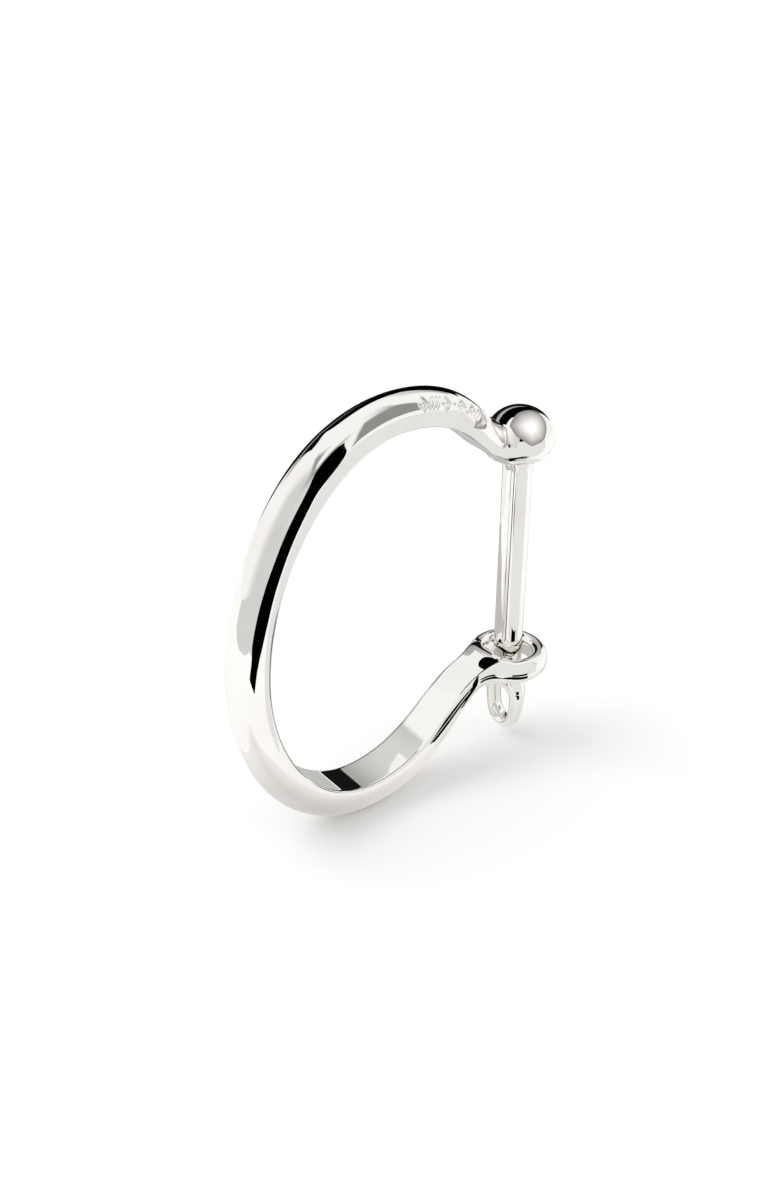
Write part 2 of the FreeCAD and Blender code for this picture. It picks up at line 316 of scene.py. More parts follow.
def eyeField(p):
    b = bow
    flatGap = np.hypot(p[:, 0] - pinX, p[:, 1])
    ringRadius = b["holeRadius"] + b["limbWidth"] / 2
    q = np.stack([flatGap - ringRadius, p[:, 2] - b["eyeHeight"]], axis=1)
    half = np.array([b["limbWidth"] / 2, b["limbHeight"] / 2])
    size = np.linalg.norm(q / half, axis=1)
    slope = np.linalg.norm(q / half ** 2, axis=1)
    limb = size * (size - 1) / np.maximum(slope, 1e-6)
    whole = softMin(bandField(p), limb, b["neckBlend"])
    return softMax(whole, b["holeRadius"] - flatGap, b["holeEdge"])


def knobField(p):
    b = bow
    middle = np.array([pinX, 0, b["knobHeight"]])
    dome = ellipsoidField(p, middle, np.array([b["knobRadius"], b["knobRadius"], b["domeHeight"]]))
    belly = ellipsoidField(p, middle, np.array([b["knobRadius"], b["knobRadius"], b["bellyDepth"]]))
    body = np.where(p[:, 2] > b["knobHeight"], dome, belly)
    underside = b["knobHeight"] - b["bellyHeight"]
    flatGap = np.hypot(p[:, 0] - pinX, p[:, 1])
    body = softMax(body, underside + b["lipHeight"] * b["lipLift"] - p[:, 2], b["bellyEdge"])
    curl = b["lipHeight"] / 2
    qx = np.maximum(flatGap - (b["lipRadius"] - curl), 0)
    qz = p[:, 2] - (underside + curl)
    lip = np.hypot(qx, qz) - curl
    body = softMin(body, lip, b["lipBlend"])
    # a sharp notch on top, a flowing join below
    flow = 1 - smoothStep((p[:, 2] - b["knobHeight"] + b["flowDrop"]) / b["flowHeight"])
    whole = softMin(bandField(p), body, b["notchBlend"] + b["frontBlend"] * flow)
    bore = np.maximum(flatGap - b["boreRadius"], p[:, 2] - b["boreTop"])
    return softMax(whole, -bore, b["boreEdge"])


def gradient(field, p, step=0.02):
    out = np.empty_like(p)
    for axis in range(3):
        move = np.zeros(3)
        move[axis] = step
        out[:, axis] = (field(p + move) - field(p - move)) / (2 * step)
    return out


def settle(field, p, turns=3, most=0.15):
    # Newton steps onto the field's zero surface
    for turn in range(turns):
        slope = gradient(field, p)
        push = -field(p)[:, None] * slope / np.maximum((slope ** 2).sum(axis=1), 1e-6)[:, None]
        size = np.linalg.norm(push, axis=1, keepdims=True)
        p = p + push * np.minimum(1, most / np.maximum(size, 1e-9))
    return p


def sampled(field, nodes, step):
    # the field on a grid, worked out only near its surface
    shape = [len(n) for n in nodes]
    values = np.empty(shape)
    coarse = 6  # cells across a block
    margin = 1.6  # how much further than one block the surface has to be for the block to be skipped
    index = [np.arange(0, n + coarse, coarse).clip(max=n - 1) for n in shape]
    grid = np.stack(np.meshgrid(*[n[i] for n, i in zip(nodes, index)], indexing="ij"), axis=-1)
    rough = field(grid.reshape(-1, 3)).reshape(grid.shape[:3])
    reach = coarse * step * margin
    for i in range(len(index[0]) - 1):
        for j in range(len(index[1]) - 1):
            for k in range(len(index[2]) - 1):
                block = rough[i:i + 2, j:j + 2, k:k + 2]
                where = tuple(slice(index[a][c], index[a][c + 1] + 1) for a, c in enumerate((i, j, k)))
                if np.abs(block).min() > reach and (block > 0).all() == (block > 0).any():
                    values[where] = block.mean()
                else:
                    values[where] = np.nan
    todo = np.argwhere(np.isnan(values))
    points = np.stack([nodes[a][todo[:, a]] for a in range(3)], axis=1)
    values[tuple(todo.T)] = field(points)
    return values


def surfaceNet(field, low, high, step):
    # quads of the zero surface, one vertex in each cell it crosses
    nodes = [np.arange(low[a], high[a] + step, step) for a in range(3)]
    values = sampled(field, nodes, step)
    inside = values < 0
    corners = [(i, j, k) for i in (0, 1) for j in (0, 1) for k in (0, 1)]
    cells = tuple(n - 1 for n in values.shape)
    count = sum(inside[i:i + cells[0], j:j + cells[1], k:k + cells[2]].astype(int) for i, j, k in corners)
    active = (count > 0) & (count < 8)
    place = np.argwhere(active)
    number = np.full(cells, -1)
    number[active] = np.arange(len(place))
    total = np.zeros((len(place), 3))
    hits = np.zeros(len(place))
    for a in corners:
        for b in corners:
            if sum(b) - sum(a) == 1 and all(bb >= aa for aa, bb in zip(a, b)):
                va = values[tuple((place + a).T)]
                vb = values[tuple((place + b).T)]
                cross = (va < 0) != (vb < 0)
                t = np.where(cross, va / np.where(cross, va - vb, 1), 0)
                total += np.where(cross[:, None], np.array(a) + t[:, None] * (np.array(b) - np.array(a)), 0)
                hits += cross
    points = np.array([n[0] for n in nodes]) + (place + total / hits[:, None]) * step
    quads = []
    for axis in range(3):
        one = [0, 0, 0]
        one[axis] = 1
        other = [a for a in range(3) if a != axis]
        lead = inside[tuple(slice(0, n - o) for n, o in zip(inside.shape, one))]
        tail = inside[tuple(slice(o, None) for o in one)]
        for first in (True, False):
            edge = np.argwhere((lead == first) & (tail != first))
            edge = edge[(edge[:, other[0]] > 0) & (edge[:, other[1]] > 0)]
            edge = edge[(edge[:, other[0]] < cells[other[0]]) & (edge[:, other[1]] < cells[other[1]])]
            loop = []
            for da, db in ((-1, -1), (0, -1), (0, 0), (-1, 0)):
                cell = edge.copy()
                cell[:, other[0]] += da
                cell[:, other[1]] += db
                loop.append(number[tuple(cell.T)])
            quad = np.stack(loop, axis=1)
            flip = (axis == 1) == first
            quads.append(quad[:, ::-1] if flip else quad)
    return points, np.vstack(quads)


def relaxed(field, points, quads, turns=3, ease=0.5):
    # even out the net along the surface, keeping it on the surface
    for turn in range(turns):
        total = np.zeros_like(points)
        count = np.zeros(len(points))
        for a in range(4):
            b = (a + 1) % 4
            np.add.at(total, quads[:, a], points[quads[:, b]])
            np.add.at(total, quads[:, b], points[quads[:, a]])
            np.add.at(count, quads[:, a], 1)
            np.add.at(count, quads[:, b], 1)
        points = points + ease * (total / np.maximum(count, 1)[:, None] - points)
        points = settle(field, points, 1)
    return settle(field, points, 2)


def cutNet(points, quads, origin, normal):
    # keeps the side the normal points to, with a clean rim in the cutting plane
    bm = bmesh.new()
    verts = [bm.verts.new(p) for p in points]
    for quad in quads:
        bm.faces.new([verts[i] for i in quad])
    bmesh.ops.bisect_plane(bm, geom=bm.verts[:] + bm.edges[:] + bm.faces[:], dist=1e-5,
                           plane_co=origin, plane_no=normal, clear_inner=True)
    bmesh.ops.delete(bm, geom=[v for v in bm.verts if not v.link_faces], context="VERTS")
    bm.verts.ensure_lookup_table()
    bm.verts.index_update()
    rim = [v.index for v in bm.verts if v.is_boundary]
    outPoints = np.array([v.co[:] for v in bm.verts])
    outFaces = [[v.index for v in face.verts] for face in bm.faces]
    bm.free()
    return outPoints, outFaces, rim


def zipRims(points, rimA, rimB, centre, out, side):
    # triangles between two closed rims that run round the same middle, matched by angle
    def ordered(rim):
        gap = points[rim] - centre
        angle = np.arctan2(gap @ side, gap @ out) % (2 * math.pi)
        turn = np.argsort(angle)
        return [int(rim[i]) for i in turn], angle[turn]

    ringA, angleA = ordered(rimA)
    ringB, angleB = ordered(rimB)
    faces = []
    i = j = 0
    countA, countB = len(ringA), len(ringB)
    while i < countA or j < countB:
        nextA = angleA[i + 1] if i + 1 < countA else (angleA[0] + 2 * math.pi if i < countA else farAway)
        nextB = angleB[j + 1] if j + 1 < countB else (angleB[0] + 2 * math.pi if j < countB else farAway)
        a, b = ringA[i % countA], ringB[j % countB]
        if nextA <= nextB:
            i += 1
            faces.append([a, ringA[i % countA], b])
        else:
            j += 1
            faces.append([a, ringB[j % countB], b])
    return faces


class Shell:
    # one closed mesh put together from grids and nets
    def __init__(self):
        self.points = np.zeros((0, 3))
        self.faces = []

    def add(self, points, faces):
        start = len(self.points)
        self.points = np.vstack([self.points, points])
        self.faces += [[int(i) + start for i in face] for face in faces]
        return start

    def addTube(self, rings):
        # joins each ring of points to the next, and gives back the first and last rim
        count, around = rings.shape[:2]
        index = np.arange(count * around).reshape(count, around)
        after = np.roll(index, -1, axis=1)
        quads = np.stack([index[:-1], after[:-1], after[1:], index[1:]], axis=-1).reshape(-1, 4)
        start = self.add(rings.reshape(-1, 3), quads)
        return index[0] + start, index[-1] + start

    def addNet(self, field, low, high, step, origin, normal):
        points, quads = surfaceNet(field, low, high, step)
        points = relaxed(field, points, quads)
        points, faces, rim = cutNet(points, quads, origin, normal)
        start = self.add(points, faces)
        return np.array(rim) + start

    def join(self, rimA, rimB, centre, out, side):
        self.faces += zipRims(self.points, rimA, rimB, centre, out, side)

    def cap(self, rim, middle):
        start = self.add(np.array([middle]), [])
        self.faces += [[int(a), int(b), start] for a, b in zip(rim, np.roll(rim, -1))]

    def piece(self, name):
        mesh = bpy.data.meshes.new(name)
        mesh.from_pydata((self.points * mm).tolist(), [], self.faces)
        bm = bmesh.new()
        bm.from_mesh(mesh)
        bmesh.ops.recalc_face_normals(bm, faces=bm.faces[:])
        openEdges = sum(not e.is_manifold for e in bm.edges)
        triangles = sum(len(f.verts) - 2 for f in bm.faces)
        volume = bm.calc_volume(signed=True)
        bm.to_mesh(mesh)
        bm.free()
        if volume < 0:
            mesh.flip_normals()
        mesh.polygons.foreach_set("use_smooth", [True] * len(mesh.polygons))
        piece = bpy.data.objects.new(name, mesh)
        bpy.context.scene.collection.objects.link(piece)
        volume = abs(volume) / mm ** 3
        say("%s: %d triangles, %d open edges, %.0f cubic mm" % (name, triangles, openEdges, volume))
        return piece


sideways = np.array([0.0, 1.0, 0.0])


def ringAt(u):
    middle = np.array([onSpine(u, "x"), 0, onSpine(u, "z")])
    out = np.array([-onSpine(u, "tz"), 0, onSpine(u, "tx")])
    along = np.array([onSpine(u, "tx"), 0, onSpine(u, "tz")])
    return middle, out, along


def spaceFor(near, far, space):
    # lowest and highest corner of the space that a net fills
    behind, ahead, half, lowest, highest = space
    return (near - behind, -half, lowest), (far + ahead, half, highest)


def buildBow():
    b = bow
    shell = Shell()
    outer = b["holeRadius"] + b["limbWidth"]
    # the eye's neck is in the first quarter of the spine, and the knob's in the last
    quarter = len(spine["x"]) // 4
    eyeSide = pinX - outer - b["neckBlend"] - b["eyeClearance"]
    fromEye = np.interp(-eyeSide, -spine["x"][:quarter], spine["u"][:quarter])
    knobSide = pinX - b["knobRadius"] - b["knobClearance"]
    toKnob = np.interp(knobSide, spine["x"][-quarter:], spine["u"][-quarter:])
    runs = ((fromEye, stamps["start"], b["ringStep"]), (stamps["start"], stamps["end"], b["markStep"]),
            (stamps["end"], toKnob, b["ringStep"]))
    stations = [np.arange(start, end - step / 3, step) for start, end, step in runs]
    stations = np.concatenate(stations + [[toKnob]])
    angle = np.linspace(0, 2 * math.pi, b["around"], endpoint=False)
    rings = np.empty((len(stations), len(angle), 3))
    for i, u in enumerate(stations):
        middle, out = ringAt(u)[:2]
        spoke = np.cos(angle)[:, None] * out + np.sin(angle)[:, None] * sideways
        rings[i] = middle + sectionRadius(u, angle)[:, None] * spoke
    first, last = shell.addTube(rings)
    say("band swept, %d rings" % len(stations))
    middle, out, along = ringAt(fromEye - b["bridge"])
    low, high = spaceFor(middle[0], pinX + outer, b["eyeSpace"])
    rim = shell.addNet(eyeField, low, high, b["netStep"], middle, -along)
    shell.join(first, rim, ringAt(fromEye)[0], out, sideways)
    say("eye shaped")
    middle, out, along = ringAt(toKnob + b["bridge"])
    low, high = spaceFor(middle[0], pinX + b["knobRadius"], b["knobSpace"])
    rim = shell.addNet(knobField, low, high, b["netStep"], middle, along)
    shell.join(last, rim, ringAt(toKnob)[0], out, sideways)
    say("knob shaped")
    return shell.piece("bowCasting")


pin = dict(
    shankRadius=2.4, shankSink=2.2,
    # the shoulder swells out of the shank, and its rim is rounded
    shoulderRadius=2.8, shoulderStart=50.8, shoulderSwell=1.9, shoulderTop=53.2, rimRounding=0.3,
    # core of the thread
    coreRadius=1.62, filletWide=0.1, filletHigh=0.08, coreStart=0.4, tip=58.4, chamfer=0.4, chamferDepth=0.8,
    # flattened loop at the lower end, and its slot
    loopWidth=8.0, loopThick=3.1, loopLow=1.72, loopTop=13.8, loopEdge=1.35, loopTaper=0.22, neckBlend=1.9,
    slotWidth=3.9, slotLow=4.0, slotHigh=10.3, slotEdge=0.3,
    # mesh
    lowTop=18.5, around=96, shankRings=60, swellRings=14, rimRings=7, coreRings=10,
    netStep=0.16, netSpace=(3.0, 5.0, 1.0, 1.5),
)


def stadiumField(y, z, radius, low, high):
    return np.hypot(y, z - np.clip(z, low + radius, high - radius)) - radius


def pinField(p):
    n = pin
    x, y, z = p[:, 0] - pinX, p[:, 1], p[:, 2]
    narrow = 1 - n["loopTaper"] * (1 - smoothStep((z - n["loopLow"]) / (n["slotHigh"] - n["loopLow"])))
    outline = stadiumField(y / narrow, z, n["loopWidth"] / 2, n["loopLow"], n["loopTop"])
    slot = stadiumField(y / narrow, z, n["slotWidth"] / 2, n["slotLow"], n["slotHigh"])
    flat = softMax(outline, -slot, n["slotEdge"])
    edge = n["loopEdge"]
    qx = np.abs(x) - n["loopThick"] / 2 + edge
    qf = flat + edge
    loop = np.hypot(np.maximum(qx, 0), np.maximum(qf, 0)) + np.minimum(np.maximum(qx, qf), 0) - edge
    shank = np.maximum(np.hypot(x, y) - n["shankRadius"], n["loopTop"] - n["shankSink"] - z)
    return softMin(loop, shank, n["neckBlend"])


def buildPin():
    n = pin
    shell = Shell()
    height = n["lowTop"] + n["netStep"]
    # radius and height of each ring, from the shank up
    shank, core, top = n["shankRadius"], n["coreRadius"], n["shoulderTop"]
    profile = [(shank, z) for z in np.linspace(height, n["shoulderStart"], n["shankRings"])]
    for t in np.linspace(0, 1, n["swellRings"])[1:]:
        swell = smoothStep(t) * (n["shoulderRadius"] - shank)
        profile.append((shank + swell, n["shoulderStart"] + t * n["shoulderSwell"]))
    curl = n["rimRounding"]
    for a in np.linspace(0, math.pi / 2, n["rimRings"]):
        profile.append((n["shoulderRadius"] - curl + curl * math.cos(a), top - curl + curl * math.sin(a)))
    profile += [(core + n["filletWide"], top), (core, top + n["filletHigh"])]
    coreTop = n["tip"] - n["chamfer"]
    profile += [(core, z) for z in np.linspace(top + n["coreStart"], coreTop, n["coreRings"])]
    for t in (0.5, 1.0):
        profile.append((core - n["chamfer"] * t * n["chamferDepth"], coreTop + n["chamfer"] * t))
    angle = np.linspace(0, 2 * math.pi, n["around"], endpoint=False)
    rings = np.array([np.stack([pinX + r * np.cos(angle), r * np.sin(angle), np.full(len(angle), z)], axis=1)
                      for r, z in profile])
    first, last = shell.addTube(rings)
    shell.cap(last, (pinX, 0, n["tip"]))
    halfThick, halfWide, below, above = n["netSpace"]
    low = (pinX - halfThick, -halfWide, n["loopLow"] - below)
    high = (pinX + halfThick, halfWide, n["lowTop"] + above)
    rim = shell.addNet(pinField, low, high, n["netStep"], (pinX, 0, n["lowTop"]), (0, 0, -1))
    shell.join(first, rim, np.array([pinX, 0, height]), np.array([1.0, 0, 0]), sideways)
    return shell.piece("pinTurning")


class Wire:
    # a node socket that can be used in sums
    def __init__(self, tree, socket=None):
        self.tree = tree
        self.socket = socket

    def add(self, kind, settings=None, inputs=None, output=0):
        node = self.tree.nodes.new(kind)
        for name, value in (settings or {}).items():
            setattr(node, name, value)
        for key, value in (inputs or {}).items():
            if isinstance(value, Wire):
                self.tree.links.new(value.socket, node.inputs[key])
            else:
                node.inputs[key].default_value = value
        return Wire(self.tree, node.outputs[output])

    def sum(self, operation, first, second=0.0):
        return self.add("ShaderNodeMath", {"operation": operation}, {0: first, 1: second})

    def __add__(self, other):
        return self.sum("ADD", self, other)

    def __sub__(self, other):
        return self.sum("SUBTRACT", self, other)

    def __rsub__(self, other):
        return self.sum("SUBTRACT", other, self)

    def __mul__(self, other):
        return self.sum("MULTIPLY", self, other)

    __radd__ = __add__
    __rmul__ = __mul__

    def rise(self, low, high, bottom=0.0, top=1.0):
        # eased step between two values of this wire
        return self.add("ShaderNodeMapRange", {"interpolation_type": "SMOOTHSTEP"},
                        {"Value": self, "From Min": low, "From Max": high, "To Min": bottom, "To Max": top})

    def band(self, low, high, soft):
        return self.rise(low - soft, low + soft) * (1 - self.rise(high - soft, high + soft))

    def into(self, node, key):
        self.tree.links.new(self.socket, node.inputs[key])


def blend(wire, factor, first, second):
    # colour mix
    return wire.add("ShaderNodeMix", {"data_type": "RGBA"}, {"Factor": factor, 6: first, 7: second}, 2)


thread = dict(
    # a metric coarse thread that runs out at each end
    pitch=0.7, root=1.6, crest=1.97, rootWidth=0.62, crestWidth=0.1, low=53.8, high=57.9,
    perTurn=56, runOut=0.07, runOutScale=0.05,
)


def threadTree():
    # a helix swept with a flat-topped tooth, all of its sizes taken from the inputs
    tree = bpy.data.node_groups.new("threadTurns", "GeometryNodeTree")
    for name in ("Root Radius", "Tooth Height", "Root Width", "Crest Width", "Turns", "Pitch", "Start",
                 "Axis", "Run Out", "Run Out Scale"):
        tree.interface.new_socket(name, in_out="INPUT", socket_type="NodeSocketFloat")
    tree.interface.new_socket("Steps", in_out="INPUT", socket_type="NodeSocketInt")
    tree.interface.new_socket("Finish", in_out="INPUT", socket_type="NodeSocketMaterial")
    tree.interface.new_socket("Geometry", in_out="OUTPUT", socket_type="NodeSocketGeometry")
    wire = Wire(tree)
    inputs = tree.nodes.new("NodeGroupInput")
    given = {socket.name: Wire(tree, socket) for socket in inputs.outputs if socket.name}

    def corner(away, along):
        return wire.add("ShaderNodeCombineXYZ", None, {0: away, 1: along})

    tooth = wire.add("GeometryNodeCurvePrimitiveQuadrilateral", {"mode": "POINTS"}, {
        "Point 1": corner(0.0, given["Root Width"] * -0.5),
        "Point 2": corner(0.0, given["Root Width"] * 0.5),
        "Point 3": corner(given["Tooth Height"] * -1, given["Crest Width"] * 0.5),
        "Point 4": corner(given["Tooth Height"] * -1, given["Crest Width"] * -0.5)})
    helix = wire.add("GeometryNodeCurveSpiral", None, {
        "Resolution": given["Steps"], "Rotations": given["Turns"], "Start Radius": given["Root Radius"],
        "End Radius": given["Root Radius"], "Height": given["Turns"] * given["Pitch"]})
    level = wire.add("GeometryNodeSetCurveNormal", {"mode": "Z_UP"}, {"Curve": helix})
    along = wire.add("GeometryNodeSplineParameter")
    near = wire.sum("MINIMUM", along, 1 - along)
    size = wire.add("ShaderNodeMapRange", None, {
        "Value": near, "From Max": given["Run Out"], "To Min": given["Run Out Scale"]})
    turns = wire.add("GeometryNodeCurveToMesh", None, {
        "Curve": level, "Profile Curve": tooth, "Scale": size, "Fill Caps": True})
    place = wire.add("ShaderNodeCombineXYZ", None, {0: given["Axis"], 2: given["Start"]})
    moved = wire.add("GeometryNodeTransform", None, {"Geometry": turns, "Translation": place})
    real = wire.add("GeometryNodeRealizeInstances", None, {"Geometry": moved})
    done = wire.add("GeometryNodeSetMaterial", None, {"Geometry": real, "Material": given["Finish"]})
    done.into(tree.nodes.new("NodeGroupOutput"), "Geometry")
    return tree


def buildThread(finish):
    t = thread
    turns = (t["high"] - t["low"]) / t["pitch"]
    tree = threadTree()
    carrier = bpy.data.objects.new("threadCarrier", bpy.data.meshes.new("threadCarrier"))
    bpy.context.scene.collection.objects.link(carrier)
    modifier = carrier.modifiers.new("turns", "NODES")
    modifier.node_group = tree
    values = {
        "Root Radius": t["root"] * mm, "Tooth Height": (t["crest"] - t["root"]) * mm,
        "Root Width": t["rootWidth"] * mm, "Crest Width": t["crestWidth"] * mm, "Turns": turns,
        "Pitch": t["pitch"] * mm, "Start": t["low"] * mm, "Axis": float(pinX) * mm, "Run Out": t["runOut"],
        "Run Out Scale": t["runOutScale"], "Steps": t["perTurn"], "Finish": finish,
    }
    for item in tree.interface.items_tree:
        if item.in_out == "INPUT":
            modifier[item.identifier] = values[item.name]
    bpy.context.view_layer.update()
    evaluated = carrier.evaluated_get(bpy.context.evaluated_depsgraph_get())
    mesh = bpy.data.meshes.new_from_object(evaluated)
    bpy.data.objects.remove(carrier)
    bm = bmesh.new()
    bm.from_mesh(mesh)
    bmesh.ops.recalc_face_normals(bm, faces=bm.faces[:])
    openEdges = sum(not e.is_manifold for e in bm.edges)
    away = max(math.hypot(v.co.x - pinX * mm, v.co.y) for v in bm.verts) / mm
    bm.to_mesh(mesh)
    bm.free()
    piece = bpy.data.objects.new("pinThread", mesh)
    bpy.context.scene.collection.objects.link(piece)
    count = len(mesh.polygons)
    say("pinThread: %d faces, %d open edges, reaches %.2f mm from the axis" % (count, openEdges, away))
    return piece


silver = dict(
    bright=(0.93, 0.918, 0.892, 1), warm=(0.885, 0.865, 0.83, 1), warmMost=0.6,
    polish=0.018, handled=0.075, smudgeFrom=0.52, smudgeTo=0.75, hairFrom=0.35, hairTo=0.75,
    cloudScale=160.0, cloudFrom=0.35, cloudTo=0.7, smudgeScale=432.0,
    hairScale=900.0, hairStrength=0.25, hairDepth=0.0000012,
    # how the hairlines are drawn out, in the casting and on the turned pin
    castGrain=(1.0, 6.0, 1.0), turnedGrain=(1.0, 1.0, 9.0),
)


def polishedSilver(name, grain):
    # mirror-polished casting: faint warm clouding, fine polishing hairlines, softer where it is handled
    material = bpy.data.materials.new(name)
    material.use_nodes = True
    tree = material.node_tree
    shader = tree.nodes["Principled BSDF"]
    shader.inputs["Metallic"].default_value = 1.0
    wire = Wire(tree)
    place = wire.add("ShaderNodeTexCoord", output="Object")
    s = silver

    def noise(at, scale, detail, roughness):
        return wire.add("ShaderNodeTexNoise", None,
                        {"Vector": at, "Scale": scale, "Detail": detail, "Roughness": roughness})

    cloud = noise(place, s["cloudScale"], 3.0, 0.55)
    tint = cloud.rise(s["cloudFrom"], s["cloudTo"]) * s["warmMost"]
    blend(wire, tint, s["bright"], s["warm"]).into(shader, "Base Color")
    drawn = wire.add("ShaderNodeMapping", None, {"Vector": place, "Scale": grain})
    hair = noise(drawn, s["hairScale"], 2.0, 0.7)
    smudge = noise(place, s["smudgeScale"], 5.0, 0.65)
    worn = smudge.rise(s["smudgeFrom"], s["smudgeTo"]) * hair.rise(s["hairFrom"], s["hairTo"])
    (s["polish"] + worn * s["handled"]).into(shader, "Roughness")
    hairlines = {"Height": hair, "Strength": s["hairStrength"], "Distance": s["hairDepth"]}
    wire.add("ShaderNodeBump", None, hairlines).into(shader, "Normal")
    return material


castSilver = polishedSilver("castSilver", silver["castGrain"])
turnedSilver = polishedSilver("turnedSilver", silver["turnedGrain"])
bowPiece = buildBow()
bowPiece.data.materials.append(castSilver)
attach(bowPiece, "bow")
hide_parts("bow")
pinPiece = buildPin()
pinPiece.data.materials.append(turnedSilver)
threadPiece = buildThread(turnedSilver)
for piece in (pinPiece, threadPiece):
    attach(piece, "screw_pin")
    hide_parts("pin")
say("pieces finished")


camera = dict(
    azimuth=-38.0, elevation=29.0, target=(-1.65, 0.0, 36.15), distance=182.4, lens=36.12,
    sensor=36, clipStart=0.005, clipEnd=20,
)


def towards(turn, rise):
    # unit vector to a point this far round from the front and this far up, in degrees
    a, e = math.radians(turn), math.radians(rise)
    return Vector((math.sin(a) * math.cos(e), -math.cos(a) * math.cos(e), math.sin(e)))


def placeCamera():
    c = camera
    back = towards(c["azimuth"], c["elevation"])
    data = bpy.data.cameras.new("camera")
    data.lens = c["lens"]
    data.sensor_width = c["sensor"]
    data.clip_start = c["clipStart"]
    data.clip_end = c["clipEnd"]
    eye = bpy.data.objects.new("camera", data)
    eye.location = (Vector(c["target"]) + back * c["distance"]) * mm
    eye.rotation_euler = back.to_track_quat("Z", "Y").to_euler()
    bpy.context.scene.collection.objects.link(eye)
    bpy.context.scene.camera = eye


placeCamera()

studio = dict(
    floorShade=0.92, floorHalf=3000, skyOnFloor=0.93,
    sunTurn=-125.0, sunRise=52.0, sunSize=40.0, sunPower=0.95,
    # the metal mirrors a pale surround with darker patches, each placed by its turn and height in degrees
    surround=1.0, surroundColour=(1.0, 0.995, 0.985, 1),
    left=dict(turn=-34.0, half=34.0, soft=22.0, low=-60.0, high=44.0, edge=10.0), leftShade=0.7,
    front=dict(turn=32.0, half=15.0, soft=2.0, low=6.0, high=66.0, edge=1.0), frontShade=0.3,
    frontFadeFrom=39.6, frontFadeTo=66.0,
    lens=dict(turn=-9.0, half=13.0, soft=7.0, low=24.0, high=52.0, edge=7.0), lensShade=0.36,
    upper=dict(turn=150.0, half=60.0, soft=2.0, low=26.0, high=56.0, edge=2.0),
    upperFadeFrom=26.0, upperFadeTo=56.0, upperLowShade=0.4, upperHighShade=0.75,
    back=dict(turn=150.0, half=42.0, soft=1.5, low=-12.0, high=26.0, edge=1.5), backShade=0.008,
)


def stagePiece(name, points, faces, shade, glow=None):
    mesh = bpy.data.meshes.new(name)
    mesh.from_pydata([[c * mm for c in p] for p in points], [], faces)
    piece = bpy.data.objects.new(name, mesh)
    bpy.context.scene.collection.objects.link(piece)
    material = bpy.data.materials.new(name + "Finish")
    material.use_nodes = True
    shader = material.node_tree.nodes["Principled BSDF"]
    shader.inputs["Base Color"].default_value = (shade, shade, shade, 1)
    shader.inputs["Roughness"].default_value = 1.0
    shader.inputs["Specular IOR Level"].default_value = 0.0
    if glow is not None:
        shader.inputs["Emission Color"].default_value = (1, 1, 1, 1)
        shader.inputs["Emission Strength"].default_value = glow
    mesh.materials.append(material)
    return piece


def onlyMirrored(card):
    # seen by the polished metal and by nothing else
    card.visible_camera = False
    card.visible_diffuse = False
    card.visible_shadow = False


def plainCard(name, corners, glow=0.0):
    onlyMirrored(stagePiece(name, corners, [tuple(range(len(corners)))], 0.0, glow))


def fadingCard(name, corners, middle, rimGlow, middleGlow):
    # fades from its middle to its rim
    count = len(corners)
    faces = [(i, (i + 1) % count, count) for i in range(count)]
    card = stagePiece(name, [*corners, middle], faces, 0.0, 1.0)
    tone = card.data.color_attributes.new("tone", "FLOAT_COLOR", "POINT")
    for i in range(count + 1):
        glow = middleGlow if i == count else rimGlow
        tone.data[i].color = (glow, glow * 0.985, glow * 0.96, 1)  # a little warm
    tree = card.data.materials[0].node_tree
    tint = Wire(tree).add("ShaderNodeVertexColor", {"layer_name": "tone"})
    tint.into(tree.nodes["Principled BSDF"], "Emission Color")
    onlyMirrored(card)


def lightStudio():
    world = bpy.data.worlds.new("studio")
    bpy.context.scene.world = world
    world.use_nodes = True
    tree = world.node_tree
    wire = Wire(tree)
    b = studio
    way = wire.add("ShaderNodeTexCoord", output="Generated")
    parts = wire.add("ShaderNodeSeparateXYZ", None, {0: way})
    x, y, z = (Wire(tree, socket) for socket in parts.socket.node.outputs)
    degrees = 180 / math.pi
    rise = wire.sum("ARCSINE", z) * degrees

    def turnFrom(middle):
        a = math.radians(middle)
        across = x * math.cos(a) + y * math.sin(a)
        ahead = x * math.sin(a) - y * math.cos(a)
        return wire.sum("ARCTAN2", across, ahead) * degrees

    def mixed(under, shade, mask):
        return under * (1 - mask) + mask * shade

    def patch(turn, half, soft, low, high, edge):
        return turnFrom(turn).band(-half, half, soft) * rise.band(low, high, edge)

    look = mixed(b["surround"], b["leftShade"], patch(**b["left"]))
    frontShade = rise.rise(b["frontFadeFrom"], b["frontFadeTo"], b["frontShade"], b["surround"])
    look = mixed(look, frontShade, patch(**b["front"]))
    look = mixed(look, b["lensShade"], patch(**b["lens"]))
    upperShade = rise.rise(b["upperFadeFrom"], b["upperFadeTo"], b["upperLowShade"], b["upperHighShade"])
    look = mixed(look, upperShade, patch(**b["upper"]))
    look = mixed(look, b["backShade"], patch(**b["back"]))
    look = mixed(look, b["skyOnFloor"], wire.add("ShaderNodeLightPath", output="Is Diffuse Ray"))
    look = mixed(look, 1.0, wire.add("ShaderNodeLightPath", output="Is Camera Ray"))
    look.into(tree.nodes["Background"], "Strength")
    tree.nodes["Background"].inputs["Color"].default_value = b["surroundColour"]
    sun = bpy.data.lights.new("key", "SUN")
    sun.energy = b["sunPower"]
    sun.angle = math.radians(b["sunSize"])
    key = bpy.data.objects.new("key", sun)
    key.rotation_euler = towards(b["sunTurn"], b["sunRise"]).to_track_quat("Z", "Y").to_euler()
    key.visible_glossy = False
    bpy.context.scene.collection.objects.link(key)


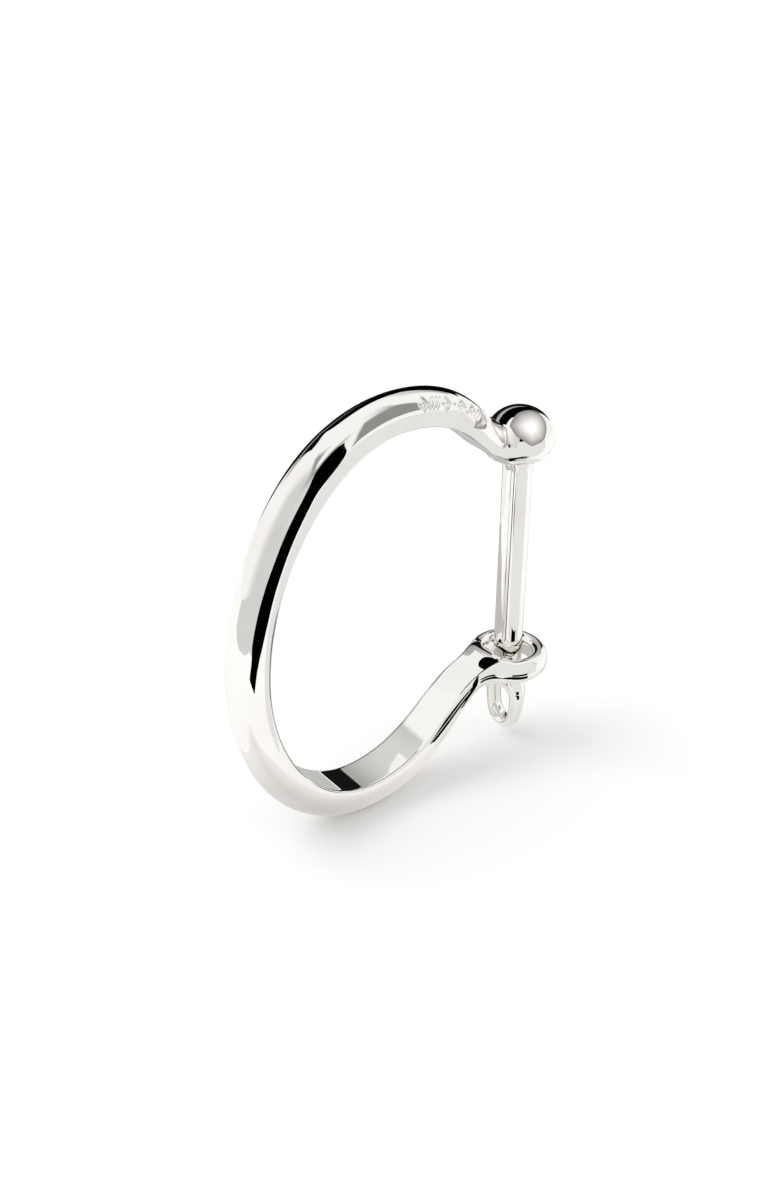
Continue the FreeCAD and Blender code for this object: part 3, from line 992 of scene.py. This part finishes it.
cards = {
    # only the metal mirrors these; corners in millimetres, and a card with a middle fades from it to its rim
    "frontFlag": dict(corners=(
        (-46, -50, 5), (-30, -50, 0.5), (-12, -50, 12), (-4, -50, 38), (-4, -50, 84), (-24, -50, 84),
        (-22, -50, 60), (-23, -50, 38), (-32, -50, 22))),
    "shield": dict(corners=((-8, -28, 1), (46, -28, 1), (46, -28, 64), (-8, -28, 64)), glow=0.84),
    "eggCard": dict(corners=(
        (17.3, -1.2, 63.2), (16.6, -5.6, 60.6), (20.8, -11.7, 56), (27.2, -11.1, 57.2), (30.2, -7.3, 60.4),
        (30.4, -2.6, 62.2), (28.0, -0.4, 63.4), (22.8, 0.2, 64.2)),
        middle=(22.5, -7.4, 64), rimGlow=0.26, middleGlow=1.5),
    "bladeCard": dict(corners=(
        (-32, -75, 0.6), (-70, -80, 0.6), (-118, -58, 0.6), (-245, 35, 0.6), (-2900, 400, 0.6),
        (-2900, -2900, 0.6), (-20, -2900, 0.6)), glow=0.7),
    "topFlag": dict(corners=(
        (-26, 11, 88), (16, 10, 88), (26, 5, 88), (75, 4, 88), (75, 34, 88), (-30, 40, 88))),
    "backFill": dict(corners=((-3, 20, 32.5), (24, 20, 32.5), (24, 20, 50), (-3, 20, 50)), glow=0.97),
    "lowFlag": dict(corners=((13, -27, 0.4), (31, -24, 0.4), (29, -14, 0.4), (13, -16, 0.4))),
    # painted shade: the metal mirrors this card in place of the floor round the foot, darkest in the middle
    # under the bow, standing in for the floor's shadow
    "underCard": dict(corners=(
        (-48, -26, 0.35), (-20, -24, 0.35), (8, -14, 0.35), (16, 2, 0.35), (6, 16, 0.35), (-40, 16, 0.35)),
        middle=(-16, -4, 0.35), rimGlow=0.95, middleGlow=0.62),
    "rimCard": dict(corners=(
        (-20, 4, 0.5), (24, 5, 0.5), (44, -6, 0.5), (160, 60, 0.5), (160, 170, 0.5), (60, 170, 0.5),
        (-25, 50, 0.5)), glow=0.55),
    "neckFlag": dict(corners=((13, -27.6, 1), (29, -27.6, 1), (29, -27.6, 7.5), (13, -27.6, 7.5))),
    "pinLine": dict(corners=((14.0, -5.4, 9), (14.7, -4.0, 9), (14.7, -4.0, 47), (14.0, -5.4, 47))),
}

floorHalf = studio["floorHalf"]
floorCorners = [(-floorHalf, -floorHalf, 0), (floorHalf, -floorHalf, 0),
                (floorHalf, floorHalf, 0), (-floorHalf, floorHalf, 0)]
stagePiece("floor", floorCorners, [(0, 1, 2, 3)], studio["floorShade"])
for name, card in cards.items():
    if "middle" in card:
        fadingCard(name, **card)
    else:
        plainCard(name, **card)
lightStudio()
bpy.context.scene.view_settings.view_transform = "Standard"
say("stage set")
